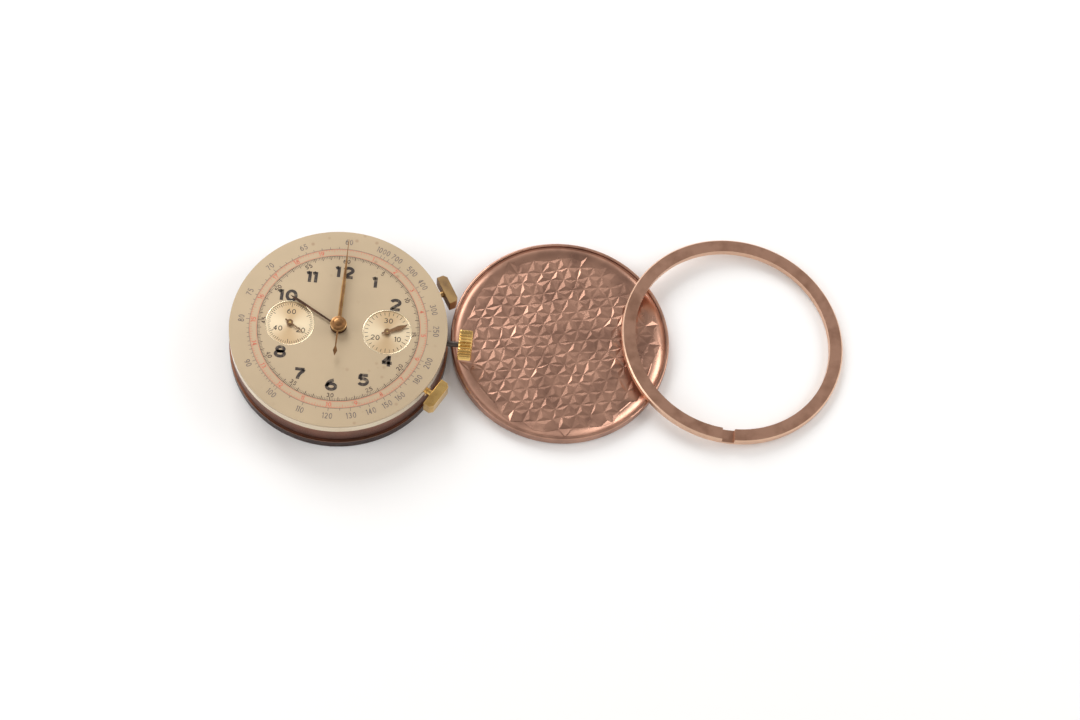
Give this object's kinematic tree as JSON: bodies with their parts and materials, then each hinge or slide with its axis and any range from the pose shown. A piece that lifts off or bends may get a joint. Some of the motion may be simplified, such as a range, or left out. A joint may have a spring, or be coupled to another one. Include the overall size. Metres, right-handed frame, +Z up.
{
  "type": "opened chronograph watch",
  "caption": "Hand-wound two-register chronograph watch head with its loose dust cover and casing ring, laid out for repair.",
  "frame": {"origin": "on the head's axis, at the bench that the case band's flange stands on", "axes": "+Z up through the dial; +X from the dial's centre to the crown at 3 o'clock, and on to the loose cover and ring; +Y to 12 o'clock"},
  "size_m": [0.0974, 0.0423, 0.009],
  "materials": {
    "copper_band": "turned, tarnished copper",
    "polished_ring": "polished",
    "dial_face": "satin champagne with age spots",
    "gilt_plate": "satin gilt",
    "screw_steel": "polished",
    "ruby": "polished synthetic ruby",
    "spring_steel": "tempered",
    "wheel_brass": "gilt",
    "polished_steel": "polished",
    "balance_brass": "polished",
    "case_gold": "polished gold",
    "gold_hand": "worn gilt",
    "dark_hand": "dark lacquer",
    "rose_copper": "polished, embossed",
    "brown_copper": "dull, tarnished"
  },
  "bodies": {
    "head": {"case_band": "copper_band", "dial_ring": "polished_ring", "dial": "dial_face", "mainplate": "gilt_plate", "barrel_bridge": "gilt_plate", "train_bridge": "gilt_plate", "balance_cock": "gilt_plate", "pallet_cock": "gilt_plate", "chronograph_bridge": "gilt_plate", "screws": "screw_steel", "jewels": "ruby", "flat_springs": "spring_steel", "pusher_tubes": "case_gold", "hairspring": "spring_steel"},
    "barrel": {"barrel": "wheel_brass", "mainspring": "spring_steel"},
    "ratchet": {"barrel_arbor": "polished_steel", "ratchet_wheel": "polished_steel"},
    "intermediate": {"intermediate_wheel": "polished_steel"},
    "crown_wheel": {"crown_wheel": "polished_steel"},
    "click": {"click": "polished_steel"},
    "centre": {"centre_wheel": "wheel_brass"},
    "third": {"third_wheel": "wheel_brass"},
    "fourth": {"fourth_wheel": "wheel_brass", "driving_wheel": "wheel_brass", "small_seconds_hand": "dark_hand"},
    "escape": {"escape_wheel": "wheel_brass"},
    "fork": {"pallet_fork": "polished_steel"},
    "balance": {"balance_wheel": "balance_brass"},
    "regulator": {"regulator": "polished_steel"},
    "minute": {"cannon_pinion": "polished_steel", "minute_hand": "gold_hand"},
    "minute_wheel": {"minute_wheel": "wheel_brass"},
    "hour": {"hour_wheel": "wheel_brass", "hour_hand": "dark_hand"},
    "setting_wheel": {"setting_wheel": "polished_steel"},
    "transfer_setting_wheel": {"transfer_setting_wheel": "polished_steel"},
    "winding": {"winding_pinion": "polished_steel"},
    "clutch": {"clutch_wheel": "polished_steel"},
    "crown_stem": {"stem": "polished_steel", "crown": "case_gold"},
    "setting_lever": {"setting_lever": "polished_steel"},
    "yoke": {"yoke": "polished_steel"},
    "runner": {"chronograph_runner": "wheel_brass", "chronograph_hand": "gold_hand"},
    "recorder": {"minute_recorder": "wheel_brass", "minute_counter_hand": "dark_hand"},
    "recorder_transfer": {"recorder_transfer_wheel": "wheel_brass"},
    "jumper": {"minute_jumper": "polished_steel"},
    "coupling_clutch": {"coupling_clutch": "polished_steel"},
    "coupling_wheel": {"coupling_wheel": "wheel_brass"},
    "operating_lever": {"operating_lever": "polished_steel"},
    "cam": {"switching_cam": "polished_steel"},
    "hammer": {"hammer": "polished_steel"},
    "start_pusher": {"start_pusher": "case_gold"},
    "reset_pusher": {"reset_pusher": "case_gold"},
    "dust_cover": {"dust_cover": "rose_copper"},
    "casing_ring": {"casing_ring": "brown_copper"}
  },
  "joints": [
    {"name": "fourth_turn", "type": "hinge", "parent": "head", "child": "fourth", "pos_m": [-0.0076, 0, 0.0046], "axis": [0, 0, 1], "continuous": true},
    {"name": "third_turn", "type": "hinge", "parent": "head", "child": "third", "pos_m": [-0.00425, -0.00295, 0.0046], "axis": [0, 0, 1], "continuous": true},
    {"name": "centre_turn", "type": "hinge", "parent": "head", "child": "centre", "pos_m": [0, 0, 0.0046], "axis": [0, 0, 1], "continuous": true},
    {"name": "barrel_turn", "type": "hinge", "parent": "head", "child": "barrel", "pos_m": [0.00358, 0.00511, 0.0046], "axis": [0, 0, 1], "continuous": true},
    {"name": "escape_turn", "type": "hinge", "parent": "head", "child": "escape", "pos_m": [-0.01015, -0.00303, 0.0046], "axis": [0, 0, 1], "continuous": true},
    {"name": "fork_rock", "type": "hinge", "parent": "head", "child": "fork", "pos_m": [-0.00885, -0.00528, 0.0046], "axis": [0, 0, 1], "range_deg": [-5, 5]},
    {"name": "balance_swing", "type": "hinge", "parent": "head", "child": "balance", "pos_m": [-0.00725, -0.00805, 0.0046], "axis": [0, 0, 1], "range_deg": [-220, 220], "stiffness_Nm_per_rad": 0.00000025},
    {"name": "regulator_turn", "type": "hinge", "parent": "head", "child": "regulator", "pos_m": [-0.00725, -0.00805, 0.0046], "axis": [0, 0, 1], "range_deg": [-8, 8]},
    {"name": "minute_turn", "type": "hinge", "parent": "head", "child": "minute", "pos_m": [0, 0, 0.0046], "axis": [0, 0, 1], "continuous": true},
    {"name": "minute_wheel_turn", "type": "hinge", "parent": "head", "child": "minute_wheel", "pos_m": [0.00132, -0.00229, 0.0046], "axis": [0, 0, 1], "continuous": true},
    {"name": "hour_turn", "type": "hinge", "parent": "head", "child": "hour", "pos_m": [0, 0, 0.0046], "axis": [0, 0, 1], "continuous": true},
    {"name": "transfer_setting_turn", "type": "hinge", "parent": "head", "child": "transfer_setting_wheel", "pos_m": [0.0056, -0.0033, 0.0046], "axis": [0, 0, 1], "continuous": true},
    {"name": "setting_wheel_turn", "type": "hinge", "parent": "head", "child": "setting_wheel", "pos_m": [0.00831, -0.00142, 0.0046], "axis": [0, 0, 1], "continuous": true},
    {"name": "crown_turn", "type": "hinge", "parent": "head", "child": "winding", "pos_m": [0.012, 0, 0.0051], "axis": [1, 0, 0], "continuous": true},
    {"name": "crown_pull", "type": "slide", "parent": "winding", "child": "crown_stem", "axis": [1, 0, 0], "range_m": [0, 0.0008]},
    {"name": "clutch_slide", "type": "slide", "parent": "winding", "child": "clutch", "axis": [1, 0, 0], "range_m": [-0.00051, 0]},
    {"name": "setting_lever_turn", "type": "hinge", "parent": "head", "child": "setting_lever", "pos_m": [0.0142, 0.0024, 0.0046], "axis": [0, 0, 1], "range_deg": [0, 19.7]},
    {"name": "yoke_turn", "type": "hinge", "parent": "head", "child": "yoke", "pos_m": [0.0092, 0.0046, 0.0046], "axis": [0, 0, 1], "range_deg": [-6.4, 0]},
    {"name": "crown_wheel_turn", "type": "hinge", "parent": "head", "child": "crown_wheel", "pos_m": [0.0106, 0, 0.0046], "axis": [0, 0, 1], "continuous": true},
    {"name": "intermediate_turn", "type": "hinge", "parent": "head", "child": "intermediate", "pos_m": [0.00941, 0.00372, 0.0046], "axis": [0, 0, 1], "continuous": true},
    {"name": "ratchet_turn", "type": "hinge", "parent": "head", "child": "ratchet", "pos_m": [0.00358, 0.00511, 0.0046], "axis": [0, 0, 1], "continuous": true},
    {"name": "click_lift", "type": "hinge", "parent": "head", "child": "click", "pos_m": [0.00884, 0.00703, 0.0046], "axis": [0, 0, -1], "range_deg": [0, 8], "stiffness_Nm_per_rad": 0.0001},
    {"name": "runner_turn", "type": "hinge", "parent": "head", "child": "runner", "pos_m": [0, 0, 0.0046], "axis": [0, 0, 1], "continuous": true},
    {"name": "recorder_turn", "type": "hinge", "parent": "head", "child": "recorder", "pos_m": [0.0076, 0, 0.0046], "axis": [0, 0, 1], "continuous": true},
    {"name": "recorder_transfer_turn", "type": "hinge", "parent": "head", "child": "recorder_transfer", "pos_m": [0.0052, -0.00181, 0.0046], "axis": [0, 0, 1], "continuous": true},
    {"name": "jumper_lift", "type": "hinge", "parent": "head", "child": "jumper", "pos_m": [0.0116, 0.0036, 0.0046], "axis": [0, 0, -1], "range_deg": [0, 4], "stiffness_Nm_per_rad": 0.0001},
    {"name": "start_press", "type": "slide", "parent": "head", "child": "start_pusher", "axis": [-0.8704, -0.4924, 0], "range_m": [0, 0.0008], "stiffness_N_per_m": 1000},
    {"name": "operating_lever_turn", "type": "hinge", "parent": "head", "child": "operating_lever", "pos_m": [0.0072, 0.0112, 0.0046], "axis": [0, 0, 1], "range_deg": [-7.49, 0]},
    {"name": "cam_turn", "type": "hinge", "parent": "head", "child": "cam", "pos_m": [-0.0012, 0.009, 0.0046], "axis": [0, 0, 1], "range_deg": [0, 30.5]},
    {"name": "coupling_clutch_turn", "type": "hinge", "parent": "head", "child": "coupling_clutch", "pos_m": [-0.0076, 0, 0.0046], "axis": [0, 0, 1], "range_deg": [-4.7, 0]},
    {"name": "coupling_wheel_turn", "type": "hinge", "parent": "coupling_clutch", "child": "coupling_wheel", "pos_m": [-0.00529, 0.0025, 0.0046], "axis": [0, 0, 1], "continuous": true},
    {"name": "reset_press", "type": "slide", "parent": "head", "child": "reset_pusher", "axis": [-0.8704, 0.4924, 0], "range_m": [0, 0.0008], "stiffness_N_per_m": 1000},
    {"name": "hammer_turn", "type": "hinge", "parent": "head", "child": "hammer", "pos_m": [0.0055, -0.0115, 0.0046], "axis": [0, 0, 1], "range_deg": [0, 6.38]},
    {"name": "dust_cover_slide", "type": "slide", "parent": "head", "child": "dust_cover", "axis": [1, 0, 0], "range_m": [0, 0.02]},
    {"name": "casing_ring_lift", "type": "slide", "parent": "dust_cover", "child": "casing_ring", "axis": [0, 0, 1], "range_m": [0, 0.015]}
  ],
  "couplings": [
    {"joint": "third_turn", "follows": "fourth_turn", "ratio": -0.13333},
    {"joint": "centre_turn", "follows": "fourth_turn", "ratio": 0.016667},
    {"joint": "barrel_turn", "follows": "fourth_turn", "ratio": -0.002381},
    {"joint": "escape_turn", "follows": "fourth_turn", "ratio": -10},
    {"joint": "minute_wheel_turn", "follows": "minute_turn", "ratio": -0.33333},
    {"joint": "hour_turn", "follows": "minute_turn", "ratio": 0.083333},
    {"joint": "transfer_setting_turn", "follows": "minute_turn", "ratio": 0.27273},
    {"joint": "setting_wheel_turn", "follows": "minute_turn", "ratio": -0.75},
    {"joint": "clutch_slide", "follows": "crown_pull", "ratio": -0.625},
    {"joint": "setting_lever_turn", "follows": "crown_pull", "rad_per_m": 425},
    {"joint": "yoke_turn", "follows": "crown_pull", "rad_per_m": -136},
    {"joint": "crown_wheel_turn", "follows": "crown_turn", "ratio": 0.56522},
    {"joint": "intermediate_turn", "follows": "crown_turn", "ratio": -0.8125},
    {"joint": "ratchet_turn", "follows": "crown_turn", "ratio": 0.29545},
    {"joint": "recorder_turn", "follows": "runner_turn", "ratio": 0.033333},
    {"joint": "recorder_transfer_turn", "follows": "runner_turn", "ratio": -0.05},
    {"joint": "operating_lever_turn", "follows": "start_press", "rad_per_m": -161.22},
    {"joint": "cam_turn", "follows": "start_press", "rad_per_m": 654.5},
    {"joint": "coupling_clutch_turn", "follows": "start_press", "rad_per_m": -98.175},
    {"joint": "coupling_wheel_turn", "follows": "fourth_turn", "ratio": -1.4286},
    {"joint": "hammer_turn", "follows": "reset_press", "rad_per_m": 136.97}
  ]
}
